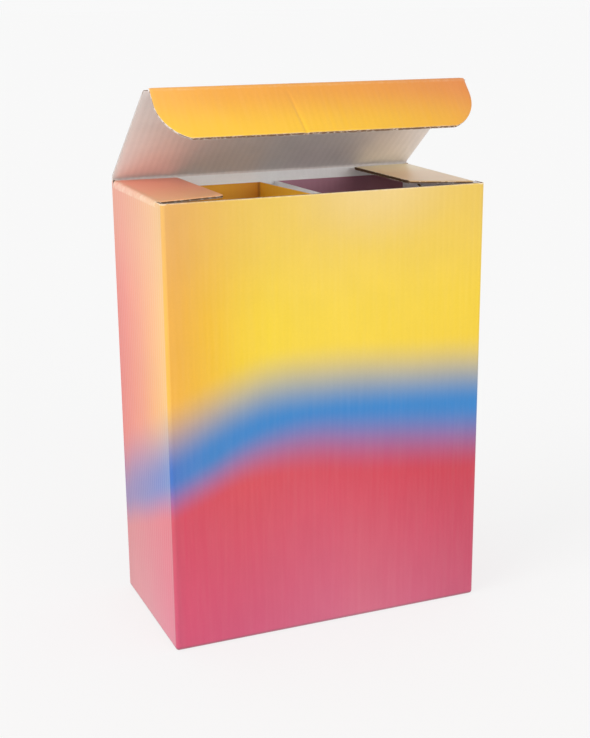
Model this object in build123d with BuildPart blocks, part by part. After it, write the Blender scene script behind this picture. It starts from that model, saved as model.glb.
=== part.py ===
from build123d import *
import os
from math import cos, radians, sin

# Tuck-top gift box for two glasses, folded from fluted board, with a folded
# two-compartment insert. Millimetres, +Z up, front face towards -Y, origin at
# the centre of the base. The lid stands half open and its tuck flap hangs.

# Driving dimensions
width = 160.0
depth = 82.0
height = 212.0
board = 1.5
lid_length = 76.0
tuck_length = 27.3
lid_rise = 36.5
tuck_fold = 84.0

# Sizes that several pieces share
fit = 0.1 * board
corner_radius = 1.1 * board
inner_x = width / 2 - board
inner_y = depth / 2 - board
floor_top = 2 * board
dust_tilt = 1.8
dust_reach = 0.19 * width
dust_top = height + dust_reach * sin(radians(dust_tilt))
lid_clearance = 0.2 * board
hinge_y = depth / 2 - board / 2
hinge_z = dust_top + lid_clearance + board / 2
hinge_gap = 0.3 * board
hinge_width = width - board

# The lid's own directions at rest: along it from hinge to front, and outwards
lid_out = Vector(0, -cos(radians(lid_rise)), sin(radians(lid_rise)))
lid_face = Vector(0, sin(radians(lid_rise)), cos(radians(lid_rise)))
hinge = Vector(0, hinge_y, hinge_z)
tuck_hinge = hinge + lid_out * lid_length - lid_face * (board / 2)
tuck_down = lid_out * cos(radians(tuck_fold)) - lid_face * sin(radians(tuck_fold))
tuck_face = lid_face * cos(radians(tuck_fold)) + lid_out * sin(radians(tuck_fold))

# Carton: four walls with rounded folds, bottom flaps in two layers, the glue
# flap inside the right wall, two dust flaps and the hinge crease of the lid
wall_inner_radius = 0.2 * board
side_flap_root = 0.93 * inner_y
side_flap_tip = 0.49 * inner_y
side_flap_end = 0.43 * inner_x
tongue_root = 0.33 * inner_x
tongue_tip = 0.28 * inner_x
tongue_start = 0.25 * inner_y
tongue_end = 0.4 * inner_y
tongue_radius = 2 * board
seam = 0.5 * board
seam_side = 0.1 * inner_y
seam_middle = 0.08 * inner_y
seam_turn = 0.38 * inner_x
glue_reach = 0.3 * depth
glue_taper = 0.33 * glue_reach
glue_top = height - board
dust_front_root = 0.104 * depth
dust_front_left = 0.117 * depth
dust_front_right = 0.183 * depth
dust_back_root = 0.963 * depth
dust_back = 0.951 * depth
dust_corner = 0.5 * board
front_y = -depth / 2

with BuildPart() as carton:
    with BuildSketch():
        RectangleRounded(width, depth, corner_radius)
        RectangleRounded(2 * inner_x, 2 * inner_y, wall_inner_radius, mode=Mode.SUBTRACT)
    extrude(amount=height)
    # Outer bottom flaps, from the front and the back wall
    with BuildSketch():
        Rectangle(2 * inner_x + board, 2 * inner_y + board)
    extrude(amount=board)
    # Inner bottom flaps, from the side walls, and the locking tongue
    with BuildSketch(Plane.XY.offset(board)):
        Polygon(
            (inner_x + board / 2, -side_flap_root),
            (inner_x + board / 2, side_flap_root),
            (side_flap_end, side_flap_tip),
            (side_flap_end, -side_flap_tip),
            align=None,
        )
        mirror(about=Plane.YZ)
    extrude(amount=board)
    with BuildSketch(Plane.XY.offset(board)) as tongue:
        Polygon(
            (-tongue_root, -tongue_start),
            (tongue_root, -tongue_start),
            (tongue_tip, tongue_end),
            (-tongue_tip, tongue_end),
            align=None,
        )
        fillet(tongue.vertices().group_by(Axis.Y)[-1], tongue_radius)
    extrude(amount=board)
    # Rounded folds round the foot
    foot = carton.faces().sort_by(Axis.Z)[0]
    fillet(foot.outer_wire().edges(), 0.8 * board)
    # Seam between the two outer bottom flaps, stepped round the tongue
    with BuildSketch():
        with BuildLine() as seam_line:
            Polyline(
                (-inner_x, seam_side),
                (-seam_turn, seam_side),
                (-tongue_root, -seam_middle),
                (tongue_root, -seam_middle),
                (seam_turn, seam_side),
                (inner_x, seam_side),
            )
            offset(amount=seam, side=Side.LEFT)
        make_face()
    extrude(amount=board, mode=Mode.SUBTRACT)
    # Glue flap, fixed flat inside the right wall
    with BuildSketch(Plane.YZ.offset(inner_x - board)):
        Polygon(
            (inner_y + board / 2, floor_top),
            (inner_y - glue_reach, floor_top + glue_taper),
            (inner_y - glue_reach, glue_top - glue_taper),
            (inner_y + board / 2, glue_top),
            align=None,
        )
    extrude(amount=board + board / 2)
    # Dust flaps, sloping a little upwards from the creases on the side walls
    left_plane = Plane(
        origin=(-inner_x, front_y, height),
        x_dir=(cos(radians(dust_tilt)), 0, sin(radians(dust_tilt))),
        z_dir=(-sin(radians(dust_tilt)), 0, cos(radians(dust_tilt))),
    )
    with BuildSketch(left_plane) as left_outline:
        Polygon(
            (-board / 2, dust_front_root),
            (dust_reach, dust_front_left),
            (dust_reach, dust_back),
            (-board / 2, dust_back_root),
            align=None,
        )
        fillet(left_outline.vertices().group_by(Axis.X)[-1], dust_corner)
    extrude(amount=-board)
    right_plane = Plane(
        origin=(inner_x, front_y, height),
        x_dir=(cos(radians(dust_tilt)), 0, -sin(radians(dust_tilt))),
        z_dir=(sin(radians(dust_tilt)), 0, cos(radians(dust_tilt))),
    )
    with BuildSketch(right_plane) as right_outline:
        Polygon(
            (board / 2, dust_front_root),
            (board / 2, dust_back_root),
            (-dust_reach, dust_back),
            (-dust_reach, dust_front_right),
            align=None,
        )
        fillet(right_outline.vertices().group_by(Axis.X)[0], dust_corner)
    extrude(amount=-board)
    # Round the outside of the two dust flap creases
    with BuildSketch(Plane.XZ.offset(-front_y - dust_front_root)) as crease:
        with Locations((width / 2 - board / 2, height - board / 2)):
            Rectangle(board, board)
        with Locations((width / 2 - board, height - board)):
            Circle(board, mode=Mode.SUBTRACT)
        mirror(about=Plane.YZ)
    extrude(amount=-(dust_back_root - dust_front_root), mode=Mode.SUBTRACT)
    # Crease that carries the lid: the back wall ends in a full round
    with BuildSketch(Plane.YZ) as nose:
        with Locations((hinge_y, height - board)):
            Rectangle(board, hinge_z - height + board, align=(Align.CENTER, Align.MIN))
        with Locations((hinge_y, hinge_z)):
            Circle(board / 2)
    extrude(amount=hinge_width / 2, both=True)
carton.part.label = "carton"

# Lid: a plate from its back crease to its front crease, drawn as a side
# profile. The back end is hollowed round the hinge and the front end is the
# quarter round that the tuck flap turns about.
with BuildPart() as lid:
    with BuildSketch(Plane(origin=hinge, x_dir=lid_out, z_dir=(-1, 0, 0))):
        Rectangle(lid_length, board, align=(Align.MIN, Align.CENTER))
        with Locations((lid_length, -board / 2)):
            Circle(board)
        with Locations((lid_length, -board / 2)):
            Rectangle(2 * board, board, align=(Align.CENTER, Align.MAX), mode=Mode.SUBTRACT)
        Circle(board / 2 + hinge_gap, mode=Mode.SUBTRACT)
    extrude(amount=hinge_width / 2, both=True)
lid.part.label = "lid"

# Tuck flap: ears run straight down from the crease, then curve in to the free
# edge and meet it at an angle
tuck_gap = 0.15 * board
ear_inset = board
ear_run = 0.3 * tuck_length
end_inset = 0.55 * tuck_length
ear_x = hinge_width / 2 - ear_inset
end_x = hinge_width / 2 - end_inset

with BuildPart() as tuck_flap:
    with BuildSketch(Plane(origin=tuck_hinge, x_dir=(1, 0, 0), z_dir=tuck_face)):
        with BuildLine():
            Line((-ear_x, 0), (ear_x, 0))
            Line((ear_x, 0), (ear_x, -ear_run))
            TangentArc((ear_x, -ear_run), (end_x, -tuck_length), tangent=(0, -1))
            Line((end_x, -tuck_length), (-end_x, -tuck_length))
            TangentArc((-ear_x, -ear_run), (-end_x, -tuck_length), tangent=(0, -1))
            Line((-ear_x, -ear_run), (-ear_x, 0))
        make_face()
    extrude(amount=board)
    # Clearance round the lid's front end
    with BuildSketch(Plane(origin=tuck_hinge, x_dir=tuck_down, z_dir=(1, 0, 0))):
        Circle(board + tuck_gap)
    extrude(amount=width, both=True, mode=Mode.SUBTRACT)
tuck_flap.part.label = "tuck_flap"

# Insert: one sheet folded into a back panel, a hollow divider that narrows
# towards the front, and a second back panel. The line is the printed face.
insert_top = height - 2.7 * board
panel_y = inner_y - fit - board
panel_left = -inner_x + fit
panel_right = inner_x - board - fit
divider_front = -0.27 * depth
divider_back_left = -0.025 * width
divider_back_right = 0.035 * width
divider_front_left = 0.023 * width
divider_front_right = 0.0515 * width

with BuildPart() as divider_insert:
    with BuildSketch(Plane.XY.offset(floor_top)):
        with BuildLine():
            Polyline(
                (panel_left, panel_y),
                (divider_back_left, panel_y),
                (divider_front_left, divider_front),
                (divider_front_right, divider_front),
                (divider_back_right, panel_y),
                (panel_right, panel_y),
            )
            offset(amount=board, side=Side.LEFT)
        make_face()
    extrude(amount=insert_top - floor_top)
    front_folds = divider_insert.edges().filter_by(Axis.Z).group_by(Axis.Y)[0]
    fillet(front_folds, 0.8 * board)
divider_insert.part.label = "divider_insert"

os.makedirs("parts", exist_ok=True)
export_step(carton.part, "parts/carton.step")
export_step(lid.part, "parts/lid.step")
export_step(tuck_flap.part, "parts/tuck_flap.step")
export_step(divider_insert.part, "parts/divider_insert.step")
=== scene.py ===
import bpy
from math import cos, pi, radians, sin
import numpy as np
from mathutils import Matrix, Vector


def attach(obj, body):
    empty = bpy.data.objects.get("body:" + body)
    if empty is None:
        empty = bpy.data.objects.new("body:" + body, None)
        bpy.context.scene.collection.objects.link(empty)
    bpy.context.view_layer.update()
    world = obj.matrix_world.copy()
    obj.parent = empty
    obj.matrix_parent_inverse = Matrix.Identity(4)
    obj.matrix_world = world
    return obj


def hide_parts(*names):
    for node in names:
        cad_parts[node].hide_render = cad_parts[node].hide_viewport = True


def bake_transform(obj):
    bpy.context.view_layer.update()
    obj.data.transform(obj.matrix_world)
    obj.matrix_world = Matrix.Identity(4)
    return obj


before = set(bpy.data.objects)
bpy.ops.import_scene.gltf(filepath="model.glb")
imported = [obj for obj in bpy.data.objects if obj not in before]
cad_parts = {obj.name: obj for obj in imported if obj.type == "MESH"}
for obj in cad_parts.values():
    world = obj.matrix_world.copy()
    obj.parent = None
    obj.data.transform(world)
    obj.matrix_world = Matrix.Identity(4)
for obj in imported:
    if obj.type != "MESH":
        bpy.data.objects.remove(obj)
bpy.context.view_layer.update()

# Camera: a little above the rim and to the left of the front, fitted to the
# box's corners in the photograph. The lens is for a frame 36 mm high.
view_right = (0.923214, -0.384193, -0.00848)
view_down = (-0.110538, -0.244358, -0.963364)
view_ahead = (0.368046, 0.890328, -0.268063)
eye = (-0.24207, -0.58231, 0.2946)
camera = bpy.data.objects.new("camera", bpy.data.cameras.new("camera"))
camera.data.lens = 64.074
camera.data.sensor_width = 36.0
camera.matrix_world = Matrix(
    [(view_right[i], -view_down[i], -view_ahead[i], eye[i]) for i in range(3)] + [(0, 0, 0, 1)]
)
bpy.context.scene.collection.objects.link(camera)
bpy.context.scene.camera = camera


# Carton walls: one strip of E-flute board folded round four corners, flutes upright. Board
# is two liners with a wave of paper glued between them. The foot rolls over into the bottom
# flaps, the front keeps its cut rim, and the side walls stop where the dust flaps fold over.
width, depth, height = 0.160, 0.082, 0.212
around = 2 * (width + depth)
around_mm, height_mm = 484, 212


def linear(*rgb):
    """Screen colour 0..255 to the linear values a shader takes: a straight line near black, and
    above it the 2.4th power of the value with its offset."""
    c = np.array(rgb) / 255
    return tuple(np.where(c <= 0.04045, c / 12.92, ((c + 0.055) / 1.055) ** 2.4)) + (1.0,)


def paper(name, roughness):
    """New material with its shader, and a helper that adds a node and links or sets its sockets."""
    material = bpy.data.materials.new(name)
    material.use_nodes = True
    tree = material.node_tree
    shader = tree.nodes["Principled BSDF"]
    shader.inputs["Roughness"].default_value = roughness
    shader.inputs["IOR"].default_value = 1.45

    def add(kind, links=(), **values):
        node = tree.nodes.new(kind)
        for key, value in values.items():
            setattr(node, key, value)
        for socket, source in links:
            if isinstance(source, bpy.types.NodeSocket):
                tree.links.new(source, node.inputs[socket])
            else:
                node.inputs[socket].default_value = source
        return node

    return material, shader, add


def between(add, value, low, high, at_low=0.0, at_high=1.0, kind="LINEAR"):
    """From at_low where the value is low to at_high where it is high, and held outside."""
    return add("ShaderNodeMapRange", [("Value", value), ("From Min", low), ("From Max", high),
                                      ("To Min", at_low), ("To Max", at_high)],
               interpolation_type=kind).outputs[0]


def laid_over(add, share, under, top):
    """The top colour laid over the one under it, by a share from 0 to 1."""
    return add("ShaderNodeMix", [(0, share), (6, under), (7, top)], data_type="RGBA").outputs[2]


def ramp(add, factor, stops):
    """Colour ramp through (position, screen colour) stops, read at factor."""
    node = add("ShaderNodeValToRGB", [("Fac", factor)])
    elements = node.color_ramp.elements
    while len(elements) < len(stops):
        elements.new(0.5)
    for element, (position, colour) in zip(elements, stops):
        element.position = position
        element.color = linear(*colour)
    return node.outputs["Color"]


def noise(add, place, scale, detail, **sockets):
    """Noise texture read at a place: scale cells to the metre, or to the mapped unit."""
    return add("ShaderNodeTexNoise", [("Vector", place), ("Scale", scale), ("Detail", detail)]
               + list(sockets.items())).outputs["Fac"]


def grain(shader, add, colour, size, bump_depth, speck, fold_colour=None):
    """Paper fibre: fine noise that lifts and lowers the colour a little and roughens the surface.
    The last argument is the colour laid in cracks where the fold attribute is high: bare paper
    breaking through along the creases, a painted highlight along the dust flaps' creases and free
    ends, and painted crease shadow on the insert."""
    place = add("ShaderNodeTexCoord").outputs["Object"]
    fine = noise(add, place, size, 4.0, Roughness=0.65)
    coarse = noise(add, place, size / 14, 2.0)
    both = add("ShaderNodeMath", [(0, fine), (1, coarse)]).outputs[0]
    level = between(add, both, 0.6, 1.4, 1 - speck, 1 + speck)
    if fold_colour:
        fold = add("ShaderNodeAttribute", attribute_name="fold").outputs["Fac"]
        cracks = noise(add, place, 420.0, 3.0)
        patchy = add("ShaderNodeMath", [(0, fold), (1, cracks)], operation="MULTIPLY").outputs[0]
        broken = between(add, patchy, 0.1, 0.9, 0.0, 0.6, "SMOOTHSTEP")
        colour = laid_over(add, broken, colour, linear(*fold_colour))
    if isinstance(colour, tuple):
        colour = colour[:3]
    tint = add("ShaderNodeVectorMath", [(0, colour), ("Scale", level)], operation="SCALE")
    bump = add("ShaderNodeBump", [("Height", fine), ("Strength", 0.35), ("Distance", bump_depth)])
    links = shader.id_data.links
    links.new(tint.outputs[0], shader.inputs["Base Color"])
    links.new(bump.outputs[0], shader.inputs["Normal"])


def plain_paper(name, roughness, colour, size, speck):
    """Unprinted paper of one colour."""
    material, shader, add = paper(name, roughness)
    grain(shader, add, linear(*colour), size, 0.00006, speck)
    return material


def cut_paper(name, fleck, stops):
    """A knife's cut through the board, in flecks of noise: brown paper darkened with painted shade
    for the hollows, and pale torn liner.
    """
    material, shader, add = paper(name, 0.9)
    flecks = noise(add, add("ShaderNodeTexCoord").outputs["Object"], fleck, 4.0)
    grain(shader, add, ramp(add, flecks, stops), 2500.0, 0.00008, 0.15)
    return material


# Print on the outside: yellow over blue over pink, blended into each other. The blue
# band rises and falls as it goes round the box, and its lower edge is softer on the
# front than on the sides. Gloss varnish over it.
def varnish(shader):
    """Clear coat over the print, the same all over."""
    shader.inputs["Coat Weight"].default_value = 1.0
    shader.inputs["Coat Roughness"].default_value = 0.3
    shader.inputs["Coat IOR"].default_value = 1.55
    shader.inputs["Specular IOR Level"].default_value = 0.1


def round_the_box(add, position, stops):
    """A height that changes round the box: a smooth curve through (mm round the box, mm up) stops,
    both taken as shares of the way round and of the height."""
    node = add("ShaderNodeFloatCurve", [("Factor", 1.0), ("Value", position)])
    points = node.mapping.curves[0].points
    while len(points) < len(stops):
        points.new(0.5, 0.5)
    for point, (mm_round, mm_up) in zip(points, stops):
        point.location = (mm_round / around_mm, mm_up / height_mm)
    node.mapping.update()
    return node.outputs[0]


def past_edge(add, position, edge, softness):
    """Smooth step from 0 to 1 as the position goes from edge - softness to edge + softness."""
    low = add("ShaderNodeMath", [(0, edge), (1, softness)], operation="SUBTRACT").outputs[0]
    high = add("ShaderNodeMath", [(0, edge), (1, softness)]).outputs[0]
    return between(add, position, low, high, kind="SMOOTHSTEP")


def streaks(add, print_map, colour):
    """Ink a hair denser and thinner in upright streaks, where it went on over the flutes; the pale
    thin ink also stands as painted highlights of the washboard ribs. Noise with 240 cells to the
    way round and 6 to the height."""
    stretched = add("ShaderNodeMapping", [(0, print_map), ("Scale", (240.0, 6.0, 1.0))]).outputs[0]
    thin_ink_and_highlight = between(add, noise(add, stretched, 1.0, 3.0), 0.4, 0.7, 0.0, 0.014)
    return laid_over(add, thin_ink_and_highlight, colour, linear(250, 244, 236))


wrap_print, shader, add = paper("wrap_print", 0.45)
varnish(shader)
print_map = add("ShaderNodeUVMap", uv_map="wrap").outputs[0]
split = add("ShaderNodeSeparateXYZ", [(0, print_map)])
round_box, up_box = split.outputs[0], split.outputs[1]

# The three inks' heights and colours, front first and then on round the right side.
upper_edge = round_the_box(add, round_box, [
    (0, 106.5), (5, 108.4), (20, 115.3), (35, 121.4), (50, 125.2), (80, 125.8), (95, 125.4),
    (125, 123.6), (155, 122), (200, 117), (242, 112), (300, 99), (350, 85), (390, 72), (404, 70),
    (419, 77.6), (443, 87.7), (467, 98), (484, 106.5)])
lower_edge = round_the_box(add, round_box, [
    (0, 75), (5, 77), (20, 83.5), (35, 90), (50, 93.5), (70, 94.8), (95, 92), (125, 88.9),
    (155, 85.9), (200, 81), (242, 76), (300, 64), (350, 53), (390, 43), (404, 42), (419, 47.9),
    (443, 57), (467, 68), (484, 75)])
lower_softness = round_the_box(add, round_box, [
    (0, 10.8), (30, 12.5), (70, 16.5), (155, 18), (242, 17), (350, 11), (402, 9.5), (470, 10),
    (484, 10.8)])
upper_softness = 18.2 / height_mm
top_colours = [
    (0, (230, 164, 50)), (0.012, (226, 161, 33)), (0.041, (230, 176, 1)), (0.072, (232, 190, 1)),
    (0.103, (234, 198, 19)), (0.17, (235, 201, 50)), (0.33, (233, 198, 30)), (0.42, (236, 184, 33)),
    (0.5, (234, 168, 42)), (0.62, (230, 140, 52)), (0.74, (222, 116, 62)), (0.83, (216, 94, 78)),
    (0.866, (228, 108, 86)), (0.915, (234, 140, 95)), (0.965, (241, 168, 100)),
    (0.99, (240, 180, 92)), (1, (238, 178, 72))]
over_blue_colours = [
    (0, (232, 169, 43)), (0.012, (229, 169, 37)), (0.041, (230, 179, 1)), (0.072, (232, 195, 14)),
    (0.103, (232, 200, 24)), (0.17, (233, 199, 29)), (0.33, (232, 195, 19)), (0.5, (234, 168, 42)),
    (0.62, (230, 130, 46)), (0.74, (220, 98, 52)), (0.83, (208, 58, 42)), (0.87, (218, 92, 59)),
    (0.915, (224, 118, 65)), (0.957, (231, 149, 49)), (0.99, (235, 170, 59)), (1, (234, 176, 57))]
blue_colours = [
    (0, (44, 102, 182)), (0.01, (53, 111, 183)), (0.04, (36, 116, 184)), (0.12, (14, 118, 188)),
    (0.4, (14, 118, 188)), (0.65, (60, 92, 166)), (0.83, (108, 66, 140)), (0.866, (101, 70, 149)),
    (0.915, (85, 80, 161)), (0.965, (54, 85, 174)), (1, (44, 102, 182))]
near_blue_colours = [
    (0, (194, 58, 72)), (0.01, (200, 47, 65)), (0.072, (202, 53, 60)), (0.134, (201, 51, 65)),
    (0.2, (200, 30, 52)), (0.26, (195, 8, 36)), (0.33, (190, 15, 35)), (0.6, (196, 30, 42)),
    (0.83, (194, 78, 84)), (0.866, (197, 71, 77)), (0.915, (204, 50, 64)), (0.994, (212, 54, 68)),
    (1, (198, 62, 76))]
foot_colours = [
    (0, (192, 66, 102)), (0.01, (199, 61, 100)), (0.072, (195, 67, 105)), (0.165, (196, 84, 116)),
    (0.2, (197, 91, 117)), (0.26, (194, 80, 111)), (0.33, (186, 65, 99)), (0.6, (196, 78, 106)),
    (0.83, (192, 74, 86)), (0.87, (200, 86, 99)), (0.915, (200, 87, 106)), (0.994, (207, 62, 105)),
    (1, (194, 68, 104))]
rise = between(add, up_box, 0.0, 92 / height_mm)
pink = laid_over(add, rise, ramp(add, round_box, foot_colours),
                 ramp(add, round_box, near_blue_colours))
low = laid_over(add, past_edge(add, up_box, lower_edge, lower_softness), pink,
                ramp(add, round_box, blue_colours))
to_top = between(add, up_box, 115 / height_mm, 190 / height_mm)
yellow = laid_over(add, to_top, ramp(add, round_box, over_blue_colours),
                   ramp(add, round_box, top_colours))
colour = laid_over(add, past_edge(add, up_box, upper_edge, upper_softness), low, yellow)
# Painted sheen: from 150 mm up the print is laid paler, most at the rim.
paler_up = between(add, up_box, 150 / height_mm, 1.0, 0.0, 0.36, "SMOOTHSTEP")
colour = laid_over(add, paler_up, colour, linear(204, 160, 106))

# A pale patch of painted sheen below the front rim: its place and its size, as shares of
# the way round and of the height. Then a painted contact shadow, a dark line where the foot
# meets the table, and the ink of the dust flaps, past the height of the rim, with painted glare.
patch_round, patch_up = 0.215, 1.02
patch_wide, patch_tall = 0.11, 0.17
sheen_place = add("ShaderNodeMapping", [
    (0, print_map), ("Location", (-patch_round / patch_wide, -patch_up / patch_tall, 0)),
    ("Scale", (1 / patch_wide, 1 / patch_tall, 1))]).outputs[0]
from_patch = add("ShaderNodeVectorMath", [(0, sheen_place)], operation="LENGTH").outputs["Value"]
painted_sheen = between(add, from_patch, 0.0, 1.0, 0.6, 0.0, "SMOOTHSTEP")
colour = laid_over(add, painted_sheen, colour, linear(229, 200, 140))
# Painted contact shadow: the print darkened within about 2 mm of the foot line, on the walls and on
# the underside.
off_the_foot = add("ShaderNodeMath", [(0, up_box)], operation="ABSOLUTE").outputs[0]
painted_foot_shadow = between(add, off_the_foot, 0.0045, 0.0095, 0.6, 0.0)
colour = laid_over(add, painted_foot_shadow, colour, linear(92, 74, 80))
# The dust flaps' ink; the right flap's pale beige, palest towards its back, is painted reflection
# of the varnish's glare.
dust_ink_and_glare = [
    (0.33, (228, 182, 116)), (0.4, (240, 198, 138)), (0.425, (244, 205, 148)),
    (0.475, (255, 238, 192)), (0.5, (255, 242, 198)), (0.6, (248, 184, 136)),
    (0.835, (252, 156, 126)), (0.9, (252, 162, 126)), (0.98, (252, 186, 126))]
over_rim = between(add, up_box, 1.0, 1.02)
colour = laid_over(add, over_rim, colour, ramp(add, round_box, dust_ink_and_glare))
print_grain = (900.0, 0.00004, 0.03, (250, 232, 205))
grain(shader, add, streaks(add, print_map, colour), *print_grain)

bare_liner = plain_paper("bare_liner", 0.85, (249, 248, 247), 1400.0, 0.05)
cut_edge = cut_paper("cut_edge", 560.0, [
    (0, (112, 82, 60)), (0.52, (146, 116, 90)), (0.6, (234, 224, 212)), (1, (246, 238, 228))])
wave_sheet = plain_paper("wave_sheet", 0.9, (138, 106, 78), 2000.0, 0.15)
outside_board = [wrap_print, bare_liner, cut_edge, wave_sheet]

# The board's make-up. A rib is how far the wave shows through a liner, and paper pressed
# over an open end is a thin band with a slit beside each liner. The points of a mesh stand
# eight columns to a flute.
caliper, liner, wave_paper, flute = 0.0015, 0.0002, 0.00016, 0.0033
rib_outside = 0.000022
rib_inside = 1.3 * rib_outside
pressed_depth, pressed_slit = 0.0001, 0.0001
column = flute / 8
fold_radius = 0.0009


def ease(x):
    """Smooth step from 0 to 1: 3x^2 - 2x^3, held outside."""
    x = np.clip(x, 0, 1)
    return x * x * (3 - 2 * x)


def run(a, b):
    """Evenly spaced values from a to b, about a column apart."""
    return np.linspace(a, b, max(2, int(round(abs(b - a) / column)) + 1))


def table(*columns):
    """Numbers and arrays over one grid set side by side, as the last axis of one array."""
    return np.stack(np.broadcast_arrays(*columns), -1)


def knife(from_edge, left=0.55, back_within=0.0009):
    """Share of the thickness beside a knife cut: left at the edge, eased to full further in."""
    return left + (1 - left) * ease(from_edge / back_within)


def skin(top, under, wrap_map, kinds, wrap=False):
    """Closed skin between two surfaces on one grid: both grids of points and a wall round their
    rim. kinds gives the material of the top, the under side, the rim along the rows' ends and the
    rim along the first and last row; wrap joins the last row to the first."""
    rows, columns = top.shape[:2]
    count = rows * columns
    index = np.arange(count).reshape(rows, columns)
    if wrap:
        index = np.vstack([index, index[:1]])
    a, b, c, d = index[:-1, :-1], index[1:, :-1], index[1:, 1:], index[:-1, 1:]
    face = np.stack([a, b, c, d], -1).reshape(-1, 4)
    rims = [np.stack([b[:, 0], a[:, 0], a[:, 0] + count, b[:, 0] + count], -1),
            np.stack([d[:, -1], c[:, -1], c[:, -1] + count, d[:, -1] + count], -1)]
    if not wrap:
        rims += [np.stack([a[0], d[0], d[0] + count, a[0] + count], -1),
                 np.stack([c[-1], b[-1], b[-1] + count, c[-1] + count], -1)]
    points = np.concatenate([top.reshape(-1, 3), under.reshape(-1, 3)])
    faces = np.vstack([face, face[:, ::-1] + count] + rims)
    material = np.repeat(kinds, [len(face), len(face), 2 * len(a), 0 if wrap else 2 * len(a[0])])
    return points, faces, material, np.tile(wrap_map.reshape(-1, 3), (2, 1))


def pressed_band(cut, inside, reach, wrap_map, kind):
    """Paper pressed over the hollow along a cut: a closed band from cut - reach to cut + reach,
    pressed_depth thick towards the line of points inside."""
    inward = inside - cut
    inward = inward * pressed_depth / np.linalg.norm(inward, axis=1, keepdims=True)
    band = np.stack([cut - reach, cut + reach], 1)
    return skin(band, band + inward[:, None], np.stack([wrap_map, wrap_map], 1), (kind,) * 4)


def board(middle, normal, across, crush, place, wrap=False, fold_share=1.0, pinch=1.0, edges=(2, 2),
          closed=0, squeezed=0):
    """Three skins about a middle surface: outer liner, wave and inner liner, each offset along the
    normal. The wave is a cosine of the distance across the flutes, flattened to nothing where
    crush is 0; the liners follow it by a rib, which is the washboard seen on the print. place is
    the position on the print, the share after wrap how strongly the crushed lines take the fold
    colour: bare paper showing through on creases and rims, a painted highlight on the dust
    flaps' creases and free ends, and painted crease shadow on the insert. pinch is the share of
    the thickness that a knife leaves. edges are the liners' materials on the two pairs of rims.
    closed is the material of the paper pressed over the hollow at the rows' ends, 0 where it stays
    open, and squeezed the same along the last row. Where a row has an odd number of points, the
    wave takes every other one, to spare faces that nobody sees."""
    grid = middle.shape[:2]
    across, crush, fold_share, pinch = (np.broadcast_to(v, grid) for v in (across, crush, fold_share, pinch))
    normal = np.broadcast_to(normal, middle.shape)
    wave = (np.cos(2 * pi * across / flute) * crush)[..., None]
    half = caliper / 2 * pinch[..., None]
    swing = half - liner - wave_paper / 2
    wrap_map = np.concatenate([np.broadcast_to(place, grid + (2,)),
                               (fold_share * (1 - crush))[..., None]], -1)
    outer = skin(middle + (half - rib_outside * (1 - wave)) * normal,
                 middle + (half - liner) * normal, wrap_map, (0, 3) + edges, wrap)
    inner = skin(middle - (half - liner) * normal,
                 middle - (half - rib_inside * (1 + wave)) * normal, wrap_map, (3, 1) + edges, wrap)
    spacing = 2 if grid[1] % 2 else 1
    thin = slice(spacing, -spacing, spacing) if closed else slice(None, None, spacing)
    kept = slice(None, -1 if squeezed else None)
    core = skin((middle + (swing * wave + wave_paper / 2) * normal)[kept, thin],
                (middle + (swing * wave - wave_paper / 2) * normal)[kept, thin],
                wrap_map[kept, thin], (3, 3, 3, 3), wrap)
    skins = [outer, core, inner]
    for end, beside in ((0, 1), (-1, -2)) if closed else ():
        reach = (half[:, end] - liner - pressed_slit) * normal[:, end] * (beside - end)
        skins.append(pressed_band(middle[:, end], middle[:, beside], reach, wrap_map[:, end],
                                  closed))
    if squeezed:
        reach = (half[-1] - liner) * normal[-1]
        skins.append(pressed_band(middle[-1], middle[-2], reach, wrap_map[-1], squeezed))
    return skins


def piece(name, skins, materials):
    """One mesh from a list of skins, smooth apart from edges sharper than 40 degrees. Its wrap map
    is the place on the print, carried past 1 where a face crosses the end of the print, and fold
    is 1 on a crease."""
    starts = np.cumsum([0] + [len(s[0]) for s in skins[:-1]])
    points = np.vstack([s[0] for s in skins])
    faces = np.vstack([s[1] + start for s, start in zip(skins, starts)])
    kinds = np.concatenate([s[2] for s in skins]).astype(np.int32)
    wrap_map = np.vstack([s[3] for s in skins])
    corner = wrap_map[faces, :2]
    corner[..., 0] += corner[..., 0].max(1, keepdims=True) - corner[..., 0] > 0.5
    fold = wrap_map[:, 2].astype(np.float32)
    mesh = bpy.data.meshes.new(name)
    mesh.from_pydata(points, [], faces)
    for material in materials:
        mesh.materials.append(material)
    mesh.polygons.foreach_set("material_index", kinds)
    mesh.uv_layers.new(name="wrap").data.foreach_set("uv", corner.astype(np.float32).ravel())
    mesh.attributes.new("fold", "FLOAT", "POINT").data.foreach_set("value", fold)
    mesh.shade_smooth()
    mesh.set_sharp_from_angle(angle=radians(40))
    made = bpy.data.objects.new(name, mesh)
    bpy.context.scene.collection.objects.link(made)
    return made


# The walls' plan, once round from the front's left corner: x, y, the way out, and how high
# the board goes. A side wall has three runs: a stub with a cut rim, the dust flap's root,
# and a back stub that is sprung up. The back wall ends where the lid's crease begins, and
# so does the half of each back corner that faces back.
wall_x, wall_y = width / 2 - caliper / 2, depth / 2 - caliper / 2
end_x, end_y = wall_x - fold_radius, wall_y - fold_radius
root_front, root_back = 0.104, 0.963
dust_root = -depth / 2 + root_front * depth, -depth / 2 + root_back * depth
hinge_height, hinge_arm = 0.214005, 0.0012
rim, side_stop, back_stop = height, height - 0.002, hinge_height - hinge_arm
dust_lift, slit = 0.0011, 0.00002
side_runs = [run(-end_y, dust_root[0] - slit), run(*dust_root), run(dust_root[1] + slit, end_y)]
side_y = np.concatenate(side_runs)
side_top = np.repeat([rim, side_stop, rim + dust_lift], [len(r) for r in side_runs])
front_x = run(-end_x, end_x)
front_run = table(front_x, -wall_y, 0, -1, rim)
right_run = table(wall_x, side_y, 1, 0, side_top)
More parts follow.
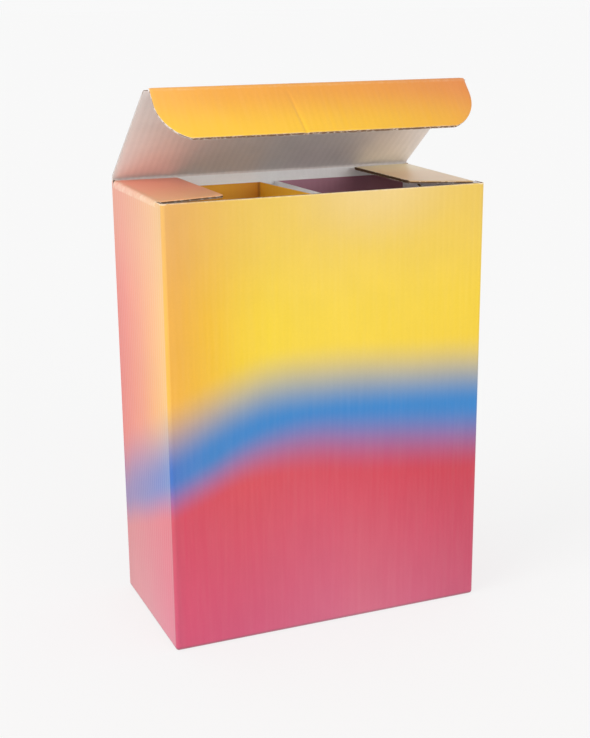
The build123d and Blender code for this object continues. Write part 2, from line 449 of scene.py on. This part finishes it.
back_run = table(-front_x, wall_y, 0, 1, back_stop)
left_run = table(-wall_x, side_y, -1, 0, side_top)[::-1]
corners = [(end_x, -end_y), (end_x, end_y), (-end_x, end_y), (-end_x, -end_y)]
corner_turn = np.radians(np.linspace(0, 90, 8))[1:-1]
arcs = []
for quarter, (cx, cy) in enumerate(corners):
    a = corner_turn + (quarter - 1) * pi / 2
    arc_top = np.where(np.sin(a) > 0.7, back_stop, rim + (cy > 0) * dust_lift)
    arcs.append(table(cx + fold_radius * np.cos(a), cy + fold_radius * np.sin(a), np.cos(a),
                      np.sin(a), arc_top))
plan = np.vstack([front_run, arcs[0], right_run, arcs[1], back_run, arcs[2], left_run, arcs[3]])
px, py, nx, ny, tops = plan.T[..., None]
step = np.hypot(np.diff(px, axis=0, append=px[:1]), np.diff(py, axis=0, append=py[:1]))
s = np.cumsum(np.append(0, step))[:, None]
s = s[:-1] * around / s[-1] + fold_radius

# Rows from the foot up: the roll into the bottom flaps, then shares of the way to the top,
# close together below the cut rim. The board is crushed flat at the corners and the foot,
# torn along the rim, and wavers a little between: a sine round the box times one up it.
foot_inset = 0.95 * fold_radius
corner_crush, foot_crush, foot_fade = 0.0016, 0.0016, 0.002
rim_band, rim_fade = 0.0007, 0.0003
waver_depth, waver_round, waver_up = 0.00006, 95, 61
roll = np.radians(np.linspace(90, 0, 5))
share = np.append(np.linspace(0, 1, 8)[1:-1], (0.99, 0.9965, 0.998, 1))
tip = np.append(roll, share * 0)
inset = foot_inset * (1 - np.cos(tip))
foot = caliper / 2 + fold_radius * (1 - np.sin(roll))
z = np.hstack([np.tile(foot, (len(px), 1)), foot[-1] + share * (tops - foot[-1])])
lengthwise = np.abs(ny) > 0.9
across = np.where(lengthwise, px, py)
crush = ease(np.where(lengthwise, end_x - np.abs(px), end_y - np.abs(py)) / corner_crush)
waver = waver_depth * (1 + np.sin(across * waver_round + 1.3) * np.sin(z * waver_up + 0.4))
waver = waver * crush * ease(z / 0.02) * ease((height - z) / 0.012)
inward = inset + waver
at_rim = ease((z - tops + rim_band) / rim_fade)
flatten = crush * ease((z - foot_crush) / foot_fade) * (1 - 0.4 * at_rim)
walls = piece("carton_walls", board(
    table(px - inward * nx, py - inward * ny, z),
    table(nx * np.cos(tip), ny * np.cos(tip), -np.sin(tip)), across, flatten,
    table(s / around, z / height), wrap=True, fold_share=0.22 + 1.9 * at_rim,
    edges=(1, 1)), outside_board)
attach(walls, "carton")
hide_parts("carton")


# Dust flaps: the side walls run on over a rolled crease and lie inwards across
# the mouth, sprung up a little at their free ends and back corners. Their long
# cut edges run beside a flute, the free end cuts across the flutes.
dust_tilt = radians(1.8)
dust_reach, dust_length = 0.19 * width, 0.0706
end_rows, end_corner = 0.001, 0.00075
end_band, end_fade = 0.0007, 0.0005
dust_crush, dust_fade = 0.001, 0.0014

# Its profile, as distances away from the middle of the box and up: two points on the stub,
# ten round the bend, whose middle is the crease row, and the rest on the way to the free
# end, close together in its last rows. gone is the share of the reach, and travel the
# length along the board.
bend = np.linspace(0, pi / 2 - dust_tilt, 10)
crease_z = height - caliper / 2 - fold_radius
lie = np.append(np.linspace(0, dust_reach - end_rows, 12)[1:],
                dust_reach - end_rows * (1 - np.array([0.5, 0.85, 1])))
away = np.concatenate([[wall_x, wall_x], end_x + fold_radius * np.cos(bend)])
up = np.concatenate([[side_stop, (side_stop + crease_z) / 2],
                     crease_z + fold_radius * np.sin(bend)])
crease_row = 6
turned = np.concatenate([[0, 0], bend, lie * 0 + pi / 2 - dust_tilt])
gone = np.append(up * 0, lie / dust_reach)
away = np.append(away, away[-1] - lie * cos(dust_tilt))
up = np.append(up, up[-1] + lie * sin(dust_tilt))
travel = np.append(0, np.cumsum(np.hypot(np.diff(away), np.diff(up))))
over_end = np.clip((gone * dust_reach - dust_reach + end_corner) / end_corner, 0, 1)
cut_corner = end_corner * (1 - np.sqrt(1 - over_end ** 2))
# at_end marks the last rows before the free end: flattened a little, and given the pale fold colour
# as a painted highlight along the end's upper edge.
at_end = ease((gone * dust_reach - dust_reach + end_band) / end_fade)
crush = ease((np.abs(travel - travel[crease_row]) - dust_crush) / dust_fade) * (1 - 0.3 * at_end)
back = -depth / 2 + depth * (root_back - 0.012 * gone) - cut_corner
part = np.linspace(0, 1, int(round(dust_length / column)))[:, None]
pinch = knife(np.minimum(part, 1 - part) * dust_length)
dust_skins = []
for side, front_end in ((-1, 0.117), (1, 0.183)):
    front = -depth / 2 + depth * (root_front + (front_end - root_front) * gone) + cut_corner
    y = (front + part * (back - front))[::side]
    lift = dust_lift * (y - front) / (back - front) * (1 - gone)
    lift = lift * np.clip((up - side_stop) / (crease_z - side_stop), 0, 1)
    s = width + depth / 2 + y if side > 0 else around - depth / 2 - y
    # The pale fold colour along the crease is bare paper with a painted fold highlight.
    dust_skins += board(table(side * away, y, up + lift),
                        table(side * np.cos(turned), 0, np.sin(turned)), y, crush,
                        table(s / around, 1 + travel / height), fold_share=0.9 + 2 * at_end, pinch=pinch)
dust_flaps = piece("dust_flaps", dust_skins, outside_board)
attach(dust_flaps, "carton")
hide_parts("carton")


# Bottom flaps: the front and back ones close the base and meet along a stepped
# seam; the two side ones lie on top of them inside, and the tongue of the front
# one is pushed in between to lock the bottom. Print outside, grey liner inside.
floor_x, floor_y = wall_x - foot_inset, wall_y - foot_inset
seam_corners = [(-0.0785, 0.00395), (-0.0298, 0.00395), (-0.0259, -0.00316), (0.0259, -0.00316),
                (0.0298, 0.00395), (0.0785, 0.00395)]
flap_crush = 0.003
printed_down = (0, 0, -1)
x = run(-floor_x, floor_x)
seam = np.interp(x, *np.transpose(seam_corners))
bottom_skins = []
for low, high in ((-floor_y, seam - 0.25 * caliper), (seam + 0.25 * caliper, floor_y)):
    y = low + np.linspace(0, 1, 9)[:, None] * (high - low)
    bottom_skins += board(table(x, y, caliper / 2), printed_down, x,
                          ease((floor_y - np.abs(y)) / flap_crush),
                          table((x + width / 2) / around, -(y + depth / 2) / height), fold_share=0.4)

# The two side flaps taper from their roots to their tips.
side_root, side_tip, root_half, tip_half = 0.0784, 0.0338, 0.0367, 0.0194
reach = np.linspace(0, 1, 25)
x = side_root - reach * (side_root - side_tip)
half = root_half - reach * (root_half - tip_half)
for side in (-1, 1):
    y = (half * np.linspace(-side, side, 151)[:, None])[::-1]
    bottom_skins += board(table(side * x, y, 1.5 * caliper), printed_down, y,
                          ease((side_root - x) / flap_crush), ((width + depth / 2) / around, -0.1))

# The tongue narrows towards its tip, whose two corners are quarter circles.
tongue_foot, tongue_tip, tongue_length, round_from = -0.0099, 0.0158, 0.0257, 0.0128
foot_half, end_half, tongue_corner = 0.0259, 0.022, 0.003
y = np.linspace(tongue_foot, tongue_tip, 17)[:, None]
half = foot_half - (y - tongue_foot) * (foot_half - end_half) / tongue_length
over_end = np.clip((y - round_from) / tongue_corner, 0, 1)
half = half - tongue_corner * (1 - np.sqrt(1 - over_end ** 2))
x = half * np.linspace(-1, 1, 126)
bottom_skins += board(table(x, y, 1.5 * caliper), printed_down, x, 1,
                      table((x + width / 2) / around, -0.2))
bottom_flaps = piece("bottom_flaps", bottom_skins, outside_board)
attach(bottom_flaps, "carton")
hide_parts("carton")


# Glue flap: the end of the folded strip, glued flat against the inside of the
# right wall beside the back corner. Its free edge is cut back at both ends.
glue_width, glue_cut, glue_line = 0.3 * depth, 0.0081, 0.00002
y = run(depth / 2 - caliper, depth / 2 - caliper - glue_width)[::-1, None]
cut_back = glue_cut * ease((depth / 2 - caliper - y) / glue_width)
z = 2 * caliper + cut_back + np.linspace(0, 1, 9) * (height - 3 * caliper - 2 * cut_back)
glue_flap = piece("glue_flap", board(
    table(width / 2 - 1.5 * caliper - glue_line, y, z), (1, 0, 0), y, 1,
    table((width + 0.1 * depth) / around, z / height)), outside_board)
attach(glue_flap, "carton")
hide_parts("carton")


# Lid: the back wall's print and flutes run on over the hinge crease. It stands
# half open, printed outside and bare grey inside, with cut edges at both sides.
pivot = np.array([0.0, 0.04025, hinge_height])
lid_along = np.array([0.0, -0.80386, 0.59482])
lid_out = np.array([0.0, 0.59482, 0.80386])
lid_length, tuck_arm = 0.076, 0.0008
lid_half = width / 2 - 0.2 * caliper
lid_sag, crease_fade = 0.00035, 0.002
squeezed_x, squeezed_fade, squeezed_back = 0.0773, 0.0005, 0.0035
lid_print, shader, add = paper("lid_print", 0.45)
varnish(shader)
print_map = add("ShaderNodeUVMap", uv_map="wrap").outputs[0]
split = add("ShaderNodeSeparateXYZ", [(0, print_map)])
round_box, up_box = split.outputs[0], split.outputs[1]
onward = between(add, up_box, 1.0, 1 + lid_length / height, kind="SMOOTHSTEP")
down_tuck = between(add, up_box, 1 + 0.078 / height, 1 + 0.102 / height, kind="SMOOTHSTEP")
crease_colours = [(0.5, (222, 134, 64)), (0.58, (227, 146, 57)), (0.66, (234, 157, 53)),
                  (0.76, (241, 166, 58)), (0.83, (250, 180, 76))]
tip_colours = [(0.5, (230, 156, 58)), (0.54, (234, 170, 45)), (0.6, (238, 181, 39)),
               (0.68, (243, 189, 41)), (0.83, (252, 198, 56))]
tuck_colour = laid_over(add, down_tuck, ramp(add, round_box, crease_colours),
                        ramp(add, round_box, tip_colours))
colour = laid_over(add, onward, ramp(add, round_box, top_colours), tuck_colour)
grain(shader, add, streaks(add, print_map, colour), *print_grain)

# Inside, faint stripes at the flute pitch: glue lines where the wave meets the liner, and painted
# shade of the washboard ribs. The tuck flap's tip was squeezed by the knife; its cut edge is
# darker, with painted shade of the flute holes.
lid_liner, shader, add = paper("lid_liner", 0.8)
glue_and_rib_shade_lines = add("ShaderNodeTexWave", [
    ("Vector", add("ShaderNodeTexCoord").outputs["Object"]), ("Scale", 2 * pi / (20 * flute)),
    ("Distortion", 0.4), ("Detail", 1.0)]).outputs["Fac"]
grain(shader, add, ramp(add, glue_and_rib_shade_lines, [(0, (229, 221, 217)), (1, (233, 225, 221))]),
      1400.0, 0.00006, 0.05)
# Painted shade: the tip edge's flecks run darker than the cut edge's, for the flute holes in
# shadow.
tip_edge = cut_paper("tip_edge", 640.0, [
    (0, (96, 66, 46)), (0.54, (130, 98, 74)), (0.62, (206, 186, 168)), (1, (238, 226, 214))])
lid_board = [lid_print, lid_liner, cut_edge, wave_sheet, tip_edge]


def behind(x):
    """How far round the box x lies on the back wall, where the lid's print runs on."""
    return (1.5 * width + depth - x) / around


x = run(-lid_half, lid_half)
along = np.linspace(hinge_arm, lid_length - tuck_arm, 17)[:, None]
sag = lid_sag * np.sin(pi * along / lid_length) * np.cos(x / lid_half * pi / 2)
middle = (pivot + along[..., None] * lid_along - sag[..., None] * lid_out
          + x[None, :, None] * (1.0, 0, 0))
crush = (ease((along - hinge_arm) / crease_fade)
         * ease((lid_length - tuck_arm - along) / crease_fade))
at_front_corner = (ease((np.abs(x) - squeezed_x) / squeezed_fade)
                   * ease((along - lid_length + squeezed_back) / crease_fade))
pinch = knife(lid_half - np.abs(x), 0.8) * (1 - 0.5 * at_front_corner)
lid = piece("lid_board", board(middle, lid_out, x, crush, table(behind(x), 1 + along / height),
                               fold_share=0.7, pinch=pinch, edges=(3, 1), closed=1), lid_board)
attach(lid, "lid")
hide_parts("lid")


# Tuck flap: the lid's front end folded down to slip in behind the front wall. It
# keeps the lid's width at the crease, then both corners are cut to an arc. A faint
# slanting dent runs down it, left of the middle: a bell curve across its line.
tuck_pivot = np.array([0.0, -0.0212892, 0.258609])
tuck_along = np.array([0.0, -0.6756, -0.7373])
tuck_out = np.array([0.0, -0.7373, 0.6756])
tuck_length, ear, ear_straight, ear_radius = 0.0273, 0.07775, 0.00819, 0.020268
dent_x, dent_at, dent_slant = -0.0128, 0.014, 0.12
dent_wide, dent_deep, dent_fade = 0.0009, 0.0004, 0.012
tip_band, tip_fade = 0.0006, 0.0005
along = np.append(np.linspace(tuck_arm, ear_straight, 8),
                  ear_straight + np.linspace(0, 1, 25)[1:] * (tuck_length - ear_straight))[:, None]
half = ear - ear_radius + np.sqrt(ear_radius ** 2 - np.clip(along - ear_straight, 0, 1) ** 2)
x = half * np.linspace(-1, 1, int(round(2 * ear / column)))
dent = dent_deep * np.exp(-((x - dent_x - dent_slant * (along - dent_at)) / dent_wide) ** 2)
dent = dent * ease((along - tuck_arm) / dent_fade)
middle = (tuck_pivot + (caliper / 2 - dent[..., None]) * tuck_out + along[..., None] * tuck_along
          + x[..., None] * (1.0, 0, 0))
at_tip = ease((along - tuck_length + tip_band) / tip_fade)
crush = ease((along - tuck_arm) / crease_fade) * (1 - 0.3 * at_tip)
tuck = piece("tuck_board", board(
    middle, tuck_out, x, crush, table(behind(x), 1 + (lid_length + along) / height),
    fold_share=0.6 + 3 * at_tip, pinch=knife(half - np.abs(x), 0.7), edges=(1, 2), closed=2,
    squeezed=4), lid_board)
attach(tuck, "tuck_flap")
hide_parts("tuck_flap")


# Hinge crease: the board between the back wall and the lid, crushed flat by the
# creasing rule. It is one bent strip.
def crease_strip(name, start, knee, end, half_width, travel_start, fold_share=0.4):
    """Board bent along a line start, knee, end: (1-t)^2 start + 2t(1-t) knee + t^2 end, carried
    straight across the box. The normal is the line's direction turned a quarter towards the
    printed side."""
    t = np.linspace(0, 1, 13)[:, None]
    line = (1 - t) ** 2 * start + 2 * t * (1 - t) * knee + t ** 2 * end
    heading = (1 - t) * (knee - start) + t * (end - knee)
    heading /= np.linalg.norm(heading, axis=1, keepdims=True)
    x = np.linspace(-half_width, half_width, 81)
    middle = line[:, None, :] + x[None, :, None] * (1.0, 0, 0)
    gone = np.append(0, np.cumsum(np.linalg.norm(np.diff(line, axis=0), axis=1)))[:, None]
    normal = table(0, heading[:, 2], -heading[:, 1])[:, None, :]
    half = caliper / 2 * knife(half_width - np.abs(x), 0.8)[None, :, None]
    bent = skin(middle + half * normal, middle - half * normal,
                table(behind(x), 1 + (travel_start + gone) / height, fold_share), (0, 1, 1, 1))
    return piece(name, [bent], lid_board)


hinge_crease = crease_strip("hinge_crease", pivot - (0, 0, hinge_arm), pivot,
                            pivot + hinge_arm * lid_along, lid_half, 0.0)
bend_way = lid_along + (0, 0, 1)
bend_way /= np.linalg.norm(bend_way)
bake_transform(hinge_crease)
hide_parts("lid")


# Tuck crease: the same crushed strip between the lid and its tuck flap, bent
# round the inner face of the board.
knee = tuck_pivot + caliper / 2 * (lid_out + tuck_out) / (1 + lid_out @ tuck_out)
tuck_crease = crease_strip(
    "tuck_crease", tuck_pivot - tuck_arm * lid_along + caliper / 2 * lid_out, knee,
    tuck_pivot + tuck_arm * tuck_along + caliper / 2 * tuck_out, ear, lid_length)
bend_way = lid_along + tuck_along
bend_way /= np.linalg.norm(bend_way)
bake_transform(tuck_crease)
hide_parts("tuck_flap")


# Divider insert: one printed sheet folded into a back wall with a hollow rib
# that comes forward and keeps the two glasses apart. It slides in loose.
insert_top, fold_fade = 0.20795, 0.002
insert_print, shader, add = paper("insert_print", 0.5)
split = add("ShaderNodeSeparateXYZ", [(0, add("ShaderNodeUVMap", uv_map="wrap").outputs[0])])
# The ramp holds the print, yellow then purple, and painted shade: darker towards the back-left
# fold, with a dark line in it, and a darker stretch on the purple wall towards its right end.
insert_ink_and_shade = [
    (0, (252, 186, 42)), (0.2, (248, 177, 38)), (0.2705, (222, 146, 32)), (0.2745, (184, 116, 28)),
    (0.2785, (255, 186, 50)), (0.47, (255, 194, 54)), (0.495, (240, 172, 58)),
    (0.515, (180, 112, 124)), (0.56, (166, 112, 130)), (0.75, (184, 130, 150)),
    (0.8, (180, 127, 144)), (0.855, (170, 118, 134)), (0.895, (160, 108, 124)),
    (0.93, (172, 118, 130)), (1, (178, 120, 128))]
# The brown fold colour along every fold of the insert is painted crease shadow.
grain(shader, add, ramp(add, split.outputs[0], insert_ink_and_shade), 900.0, 0.00004, 0.03,
      (150, 96, 40))
insert_wave = plain_paper("insert_wave", 0.9, (245, 242, 240), 2000.0, 0.12)
insert_board = [insert_print, bare_liner, cut_edge, insert_wave]


def folded(points, radius):
    """A path of straight runs with its corners rounded: each corner is cut back by radius x
    tan(half the turn) and joined by an arc of six points. Returns points, directions and the
    distance to the next fold."""
    runs = np.diff(points, axis=0)
    ways = runs / np.linalg.norm(runs, axis=1, keepdims=True)
    turns = np.arctan2(ways[:-1, 0] * ways[1:, 1] - ways[:-1, 1] * ways[1:, 0],
                       (ways[:-1] * ways[1:]).sum(1))
    back_off = radius * np.tan(np.abs(turns) / 2)
    starts = points[:-1] + ways * np.append(0, back_off)[:, None]
    ends = points[1:] - ways * np.append(back_off, 0)[:, None]
    spots, headings, spare = [], [], []
    for k in range(len(runs)):
        length = np.linalg.norm(ends[k] - starts[k])
        d = run(0, length)
        spots.append(starts[k] + d[:, None] * ways[k])
        headings.append(np.tile(ways[k], (len(d), 1)))
        spare.append(np.minimum(d if k else d + 1,
                                length - d if k < len(runs) - 1 else length - d + 1))
        if k < len(turns):
            left = np.array([-ways[k, 1], ways[k, 0]]) * np.sign(turns[k])
            a = turns[k] * np.linspace(0, 1, 8)[1:-1]
            b = np.abs(a)[:, None]
            spots.append(ends[k] + radius * (np.sin(b) * ways[k] + (1 - np.cos(b)) * left))
            headings.append(table(ways[k, 0] * np.cos(a) - ways[k, 1] * np.sin(a),
                                  ways[k, 0] * np.sin(a) + ways[k, 1] * np.cos(a)))
            spare.append(a * 0)
    return np.vstack(spots), np.vstack(headings), np.concatenate(spare)


# The printed face's corners in plan; the board's middle runs half a caliper beside them,
# where the offset lines of two neighbouring runs cross.
printed = np.array([(-0.07835, 0.03785), (-0.004, 0.03785), (0.00368, -0.02214),
                    (0.00824, -0.02214), (0.0056, 0.03785), (0.07685, 0.03785)])
ways = np.diff(printed, axis=0)
ways /= np.linalg.norm(ways, axis=1, keepdims=True)
lefts = table(-ways[:, 1], ways[:, 0])
before, after = np.vstack([lefts[:1], lefts]), np.vstack([lefts, lefts[-1:]])
centre_line = (printed + caliper / 2 * (before + after)
               / (1 + (before * after).sum(1, keepdims=True)))
spots, headings, spare = folded(centre_line, fold_radius)
s = np.append(0, np.cumsum(np.linalg.norm(np.diff(spots, axis=0), axis=1)))[:, None]
z = np.linspace(2 * caliper, insert_top, 9)
insert = piece("divider_insert_board", board(
    table(spots[:, :1], spots[:, 1:], z), table(headings[:, 1], -headings[:, 0], 0)[:, None], s,
    ease(spare / fold_fade)[:, None], table(s / s[-1], z / height), edges=(1, 2)), insert_board)
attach(insert, "carton")
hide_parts("divider_insert")


# Studio: a pale floor that runs out past the picture, surroundings that are
# brightest low down, and two far soft lights, the stronger from the left.
floor_white, shader, add = paper("floor_white", 0.9)
shader.inputs["Base Color"].default_value = (0.2, 0.2, 0.2, 1)
shader.inputs["Specular IOR Level"].default_value = 0.0
shader.inputs["Emission Color"].default_value = (1, 1, 1, 1)
shader.inputs["Emission Strength"].default_value = 0.762
floor_mesh = bpy.data.meshes.new("floor")
floor_mesh.from_pydata([(-60, -60, 0), (60, -60, 0), (60, 60, 0), (-60, 60, 0)], [],
                       [(0, 1, 2, 3)])
floor_mesh.materials.append(floor_white)
floor = bpy.data.objects.new("floor", floor_mesh)
bpy.context.scene.collection.objects.link(floor)

world = bpy.data.worlds.new("white_surroundings")
world.use_nodes = True
nodes, links = world.node_tree.nodes, world.node_tree.links
heading = nodes.new("ShaderNodeSeparateXYZ")
links.new(nodes.new("ShaderNodeTexCoord").outputs["Generated"], heading.inputs[0])
fall = nodes.new("ShaderNodeMapRange")
fall.interpolation_type = "SMOOTHSTEP"
for socket, value in (("From Min", 0.1), ("From Max", 0.75), ("To Min", 0.945), ("To Max", 0.6)):
    fall.inputs[socket].default_value = value
links.new(heading.outputs[2], fall.inputs["Value"])
links.new(fall.outputs[0], nodes["Background"].inputs["Strength"])
nodes["Background"].inputs["Color"].default_value = (1, 1, 1, 1)
bpy.context.scene.world = world

box_middle = 0.11
for name, spot, spread, strength, tint in (
        ("left_softbox", (-1.15, -0.3, 0.7), 40, 1.33, (1.0, 0.99, 0.97)),
        ("front_softbox", (0.3, -1.3, 0.3), 30, 0.76, (1.0, 1.0, 1.0))):
    lamp = bpy.data.lights.new(name, "SUN")
    lamp.angle = radians(spread)
    lamp.energy = strength
    lamp.color = tint
    holder = bpy.data.objects.new(name, lamp)
    holder.location = spot
    aim = Vector((-spot[0], -spot[1], box_middle - spot[2]))
    holder.rotation_euler = aim.to_track_quat("-Z", "Y").to_euler()
    bpy.context.scene.collection.objects.link(holder)
bpy.context.scene.view_settings.view_transform = "Standard"
